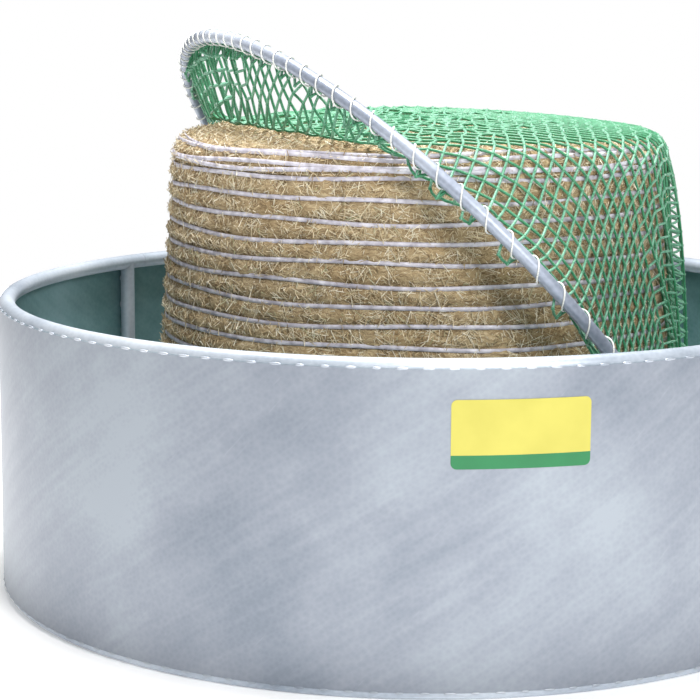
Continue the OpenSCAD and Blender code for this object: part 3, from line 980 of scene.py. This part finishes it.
class FEEDER_OT_net(bpy.types.Operator):
    """Drapes the hay net over the bale and laces its edge to the ring"""
    bl_idname = "feeder.net"
    bl_label = "Hay net"

    def execute(self, context):
        sizes, net = context.scene.feeder_bale, context.scene.feeder_net
        co, bars = drape(sizes, net, 200)
        tree = netting_tree()
        values = {"Twine": net.twine_d, "Joint": net.twine_d * 1.45, "Material": twine_material()}
        points, edges, tones = curved_bars(co, bars)
        twine = net_piece("hay_net_twine", points, edges, tones, np.zeros(len(points)), tree, values)
        # Joints take a tone between the lit copy of the twine and its deep copy.
        joints = net_piece("hay_net_joints", co, np.zeros((0, 2), int), np.full(len(co), 0.45),
                           np.ones(len(co)), tree, values)
        off_hay = off_hay_tree(sizes, net)
        for piece in (twine, joints):
            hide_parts("hay_net")
            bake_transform(piece)
            # Where the ring drags the net across the bale, it slides over the hay instead of through it.
            live(piece, off_hay, {"Hay": bpy.data.objects["hay_bale_body"]})
        # The flat net, cut round to its laced edge and fringe: one square of bars for every joint.
        return {"FINISHED"}


def cord_tree():
    """Cord: a round cord along every edge chain of a guide mesh."""
    tree, given, output = geometry_tree("Cord", [
        ("Thickness", "NodeSocketFloat", 0.004), ("Material", "NodeSocketMaterial", None)])
    line = add(tree, "GeometryNodeMeshToCurve", {"Mesh": given["Geometry"]})
    half = add(tree, "ShaderNodeMath", {0: given["Thickness"], 1: 0.5}, operation="MULTIPLY")
    ring = add(tree, "GeometryNodeCurvePrimitiveCircle", {"Resolution": 6, "Radius": half.outputs[0]})
    cord = add(tree, "GeometryNodeCurveToMesh", {"Curve": line.outputs[0], "Profile Curve": ring.outputs[0]})
    shaded = add(tree, "GeometryNodeSetShadeSmooth", {0: cord.outputs[0]})
    close_tree(tree, shaded.outputs[0], given, output)
    return tree


def lacing_material():
    """Braided polyamide cord, off-white, with painted shade greying it between its strands."""
    material, tree, shader = new_material("braided_polyamide_cord")
    place = object_point(tree)
    braid = add(tree, "ShaderNodeTexVoronoi", {"Vector": place, "Scale": 520.0})
    # Painted shade: the ramp greys the cord where the braid's bump sinks, between its strands.
    shade = ramp(tree, braid.outputs["Distance"], [(0.0, "#f6f6f2"), (0.5, "#dfe0da"), (0.95, "#a3a8a4")])
    bump = add(tree, "ShaderNodeBump", {"Strength": 0.5, "Distance": 0.0006, "Height": braid.outputs["Distance"]})
    feed(tree, shader, {"Base Color": shade, "Normal": bump.outputs[0], "Roughness": 0.6})
    return material


class FEEDER_OT_ring(bpy.types.Operator):
    """Finishes the net ring and winds the lacing cord round it"""
    bl_idname = "feeder.ring"
    bl_label = "Net ring and lacing"

    def execute(self, context):
        net = context.scene.feeder_net
        tube = galvanised("dull_galvanised_ring_tube", "#bcc3cf", "#98a0af", "#727a88", 0.16, 0.42, 0.35)
        coat(["net_ring_tube", "net_ring_sleeve"], tube)
        coat(["net_edge_rope"], twine_material())
        cord_d, per_turn, crowding = 0.0044, 18, 0.42
        turns = round(2 * math.pi * RING_R / net.lacing_pitch)
        steps = turns * per_turn
        t = np.linspace(0, 2 * np.pi, steps, endpoint=False)
        angle = t - crowding * np.sin(t - np.pi)  # the turns crowd together round the ring's high side
        wind = -turns * t
        wander = 0.0012 * np.sin(5 * t) + 0.0008 * np.sin(11 * t + 1)
        coil = RING_TUBE_R + 0.0026 + 0.0022 * (1 + np.cos(wind + np.pi)) + wander * 0.4
        points = on_ring(angle, (RING_R + coil * np.cos(wind))[..., None], coil * np.sin(wind))
        piece = new_piece("lacing_cord", points, loop_edges(steps))
        grown(piece, cord_tree(), {"Thickness": cord_d, "Material": lacing_material()})
        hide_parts("net_lacing")
        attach(piece, "net_frame")
        return {"FINISHED"}


# ---------------------------------------------------------------- stage

class FEEDER_OT_stage(bpy.types.Operator):
    """Sets the floor, the soft lights and the camera"""
    bl_idname = "feeder.stage"
    bl_label = "Stage"

    def execute(self, context):
        radius, corners = 6.0, 96
        floor = new_piece("floor", loop_points(radius, 0.0, corners), (), [tuple(range(corners))])
        material, tree, shader = new_material("pale_floor")
        far = add(tree, "ShaderNodeVectorMath", {0: object_point(tree)}, operation="LENGTH")
        glow = add(tree, "ShaderNodeMapRange", {"Value": far.outputs["Value"], "From Min": 1.2, "From Max": 3.2,
                                                "To Min": 0.22, "To Max": 1.0})
        feed(tree, shader, {"Emission Strength": glow.outputs[0], "Emission Color": linear("#ffffff"),
                            "Base Color": linear("#fbfbfb"), "Roughness": 0.9})
        floor.data.materials.append(material)
        world = bpy.data.worlds.new("studio")
        world.use_nodes = True
        world.node_tree.nodes["Background"].inputs[0].default_value = linear("#ffffff")
        seen = add(world.node_tree, "ShaderNodeLightPath")
        strength = add(world.node_tree, "ShaderNodeMapRange", {"Value": seen.outputs["Is Camera Ray"],
                                                               "To Min": 0.34, "To Max": 1.0})
        world.node_tree.links.new(strength.outputs[0], world.node_tree.nodes["Background"].inputs[1])
        context.scene.world = world
        context.scene.view_settings.view_transform = "Standard"
        aim = Vector((0, 0, 0.6))
        # Each lamp's name, place, size in metres and watts: one in front and to the right, one over the bale.
        for name, place, size, power in (("key", (2.3, -6.2, 4.0), 2.4, 350.0),
                                         ("top", (-0.2, 0.2, 6.0), 2.6, 640.0)):
            lamp = bpy.data.lights.new(name, "AREA")
            lamp.shape = "DISK"
            lamp.size = size
            lamp.energy = power
            light = bpy.data.objects.new(name, lamp)
            light.location = place
            light.rotation_euler = (aim - Vector(place)).to_track_quat("-Z", "Y").to_euler()
            context.scene.collection.objects.link(light)
        set_camera(context.scene)
        return {"FINISHED"}


def set_camera(scene):
    """Stands in front of the drum, a little above the bale, looking slightly down and left of its axis."""
    place, lens_mm = (0, -5.899, 1.633), 110.9
    pitch, yaw, roll = 0.169, -0.031, 0.006  # in radians
    forward = Vector((math.sin(yaw) * math.cos(pitch), math.cos(yaw) * math.cos(pitch), -math.sin(pitch)))
    right = Vector((math.cos(yaw), -math.sin(yaw), 0))
    up = right.cross(forward)
    turned_right = math.cos(roll) * right + math.sin(roll) * up
    turned_up = -math.sin(roll) * right + math.cos(roll) * up
    camera = bpy.data.objects.new("camera", bpy.data.cameras.new("camera"))
    camera.data.sensor_width = 36.0
    camera.data.lens = lens_mm
    camera.matrix_world = Matrix.Translation(place) @ Matrix(
        (turned_right, turned_up, -forward)).transposed().to_4x4()
    scene.collection.objects.link(camera)
    scene.camera = camera


class FEEDER_PT_panel(bpy.types.Panel):
    bl_label = "Round bale feeder"
    bl_space_type = "VIEW_3D"
    bl_region_type = "UI"
    bl_category = "Feeder"

    def draw(self, context):
        for operator in STEPS:
            self.layout.operator(operator.bl_idname)
        for group in (context.scene.feeder_bale, context.scene.feeder_net, context.scene.feeder_welds):
            for name in group.bl_rna.properties.keys():
                if name not in ("rna_type", "name"):
                    self.layout.prop(group, name)


STEPS = (FEEDER_OT_stage, FEEDER_OT_drum, FEEDER_OT_welds, FEEDER_OT_bale, FEEDER_OT_ring, FEEDER_OT_net)
GROUPS = {"feeder_bale": FeederBaleSettings, "feeder_net": FeederNetSettings, "feeder_welds": FeederWeldSettings}


def register():
    for cls in (*GROUPS.values(), *STEPS, FEEDER_PT_panel):
        bpy.utils.register_class(cls)
    for name, cls in GROUPS.items():
        setattr(bpy.types.Scene, name, bpy.props.PointerProperty(type=cls))


def unregister():
    for name in GROUPS:
        delattr(bpy.types.Scene, name)
    for cls in reversed((*GROUPS.values(), *STEPS, FEEDER_PT_panel)):
        bpy.utils.unregister_class(cls)


def main():
    register()
    for step in STEPS:
        group, name = step.bl_idname.split(".")
        getattr(getattr(bpy.ops, group), name)()


if __name__ == "__main__":
    main()
